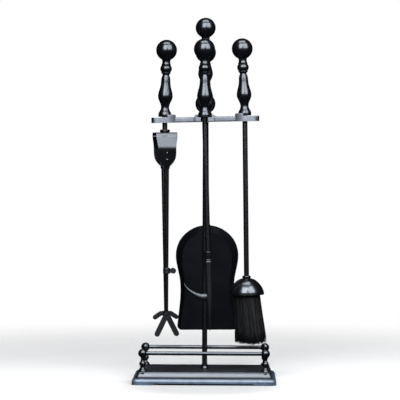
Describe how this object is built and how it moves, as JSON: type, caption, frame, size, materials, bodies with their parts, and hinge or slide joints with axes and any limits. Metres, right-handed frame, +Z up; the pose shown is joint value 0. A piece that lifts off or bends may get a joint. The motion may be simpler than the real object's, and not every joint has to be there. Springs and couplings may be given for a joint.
{
  "type": "fireplace tool set",
  "caption": "Black fireplace companion set: railed base, column with a forked holder and carrying handle, and hanging poker, tongs, brush and shovel.",
  "frame": {"origin": "on the floor under the centre column's axis", "axes": "+Z up along the column, -Y to the front where the poker hangs, +X to the side where the brush hangs"},
  "size_m": [0.257, 0.194, 0.6554],
  "materials": {
    "casting_black": "satin black paint over a slightly rough casting",
    "holder_black": "satin black paint over a rough sand casting",
    "turned_black": "semi-gloss black enamel on turned metal",
    "rod_black": "satin black enamel on drawn bar",
    "forged_black": "satin black paint over forged iron",
    "spring_black": "glossy black enamel on flat spring steel",
    "pan_black": "satin black enamel on pressed sheet",
    "dome_black": "semi-gloss black enamel on spun sheet",
    "fastener_steel": "zinc plated, hidden",
    "core_wood": "plain turned wood, hidden",
    "bristle_black": "stiff black synthetic fibre"
  },
  "bodies": {
    "stand": {"base_plinth": "casting_black", "gallery_post_front_left": "turned_black", "gallery_post_front_right": "turned_black", "gallery_post_back_left": "turned_black", "gallery_post_back_right": "turned_black", "gallery_rail_front": "rod_black", "gallery_rail_back": "rod_black", "gallery_screws": "fastener_steel", "center_post": "rod_black", "post_collar": "turned_black", "post_washer": "fastener_steel", "post_nut": "fastener_steel", "tool_holder": "holder_black", "holder_ball": "turned_black", "carry_handle": "turned_black"},
    "poker": {"poker_handle": "turned_black", "poker_rod": "rod_black", "poker_collar": "turned_black", "poker_head": "forged_black", "poker_barb": "forged_black"},
    "tongs": {"tongs_handle": "turned_black", "tongs_rod": "rod_black", "tongs_collar": "turned_black", "tongs_nut": "fastener_steel", "tongs_spring_top": "spring_black"},
    "tongs_front_arm": {"tongs_front_leg": "spring_black", "tongs_front_rivets": "spring_black", "tongs_front_arm": "rod_black", "tongs_front_claw": "forged_black", "tongs_guide": "forged_black"},
    "tongs_back_arm": {"tongs_back_leg": "spring_black", "tongs_back_rivets": "spring_black", "tongs_back_arm": "rod_black", "tongs_back_claw": "forged_black"},
    "brush": {"brush_handle": "turned_black", "brush_rod": "rod_black", "brush_collar": "turned_black", "brush_dome": "dome_black", "brush_core": "core_wood", "brush_nut": "fastener_steel", "brush_bristles": "bristle_black"},
    "shovel": {"shovel_handle": "turned_black", "shovel_rod": "rod_black", "shovel_pan": "pan_black", "shovel_rivets": "pan_black"}
  },
  "joints": [
    {"name": "poker_lift", "type": "slide", "parent": "stand", "child": "poker", "axis": [0, -0.8, 0.6], "range_m": [0, 0.1]},
    {"name": "tongs_lift", "type": "slide", "parent": "stand", "child": "tongs", "axis": [-0.97, 0, 0.2431], "range_m": [0, 0.1]},
    {"name": "brush_lift", "type": "slide", "parent": "stand", "child": "brush", "axis": [0.8, 0, 0.6], "range_m": [0, 0.1]},
    {"name": "shovel_lift", "type": "slide", "parent": "stand", "child": "shovel", "axis": [0, 0.8, 0.6], "range_m": [0, 0.1]},
    {"name": "tongs_front_flex", "type": "hinge", "parent": "tongs", "child": "tongs_front_arm", "pos_m": [-0.06871, -0.01956, 0.4425], "axis": [-0.9781, -0.2079, -0.0094], "range_deg": [0, 7], "stiffness_Nm_per_rad": 3},
    {"name": "tongs_back_flex", "type": "hinge", "parent": "tongs", "child": "tongs_back_arm", "pos_m": [-0.07703, 0.01956, 0.44242], "axis": [0.9781, 0.2079, 0.0094], "range_deg": [0, 7], "stiffness_Nm_per_rad": 3}
  ],
  "couplings": [
    {"joint": "tongs_back_flex", "follows": "tongs_front_flex", "ratio": 1}
  ]
}
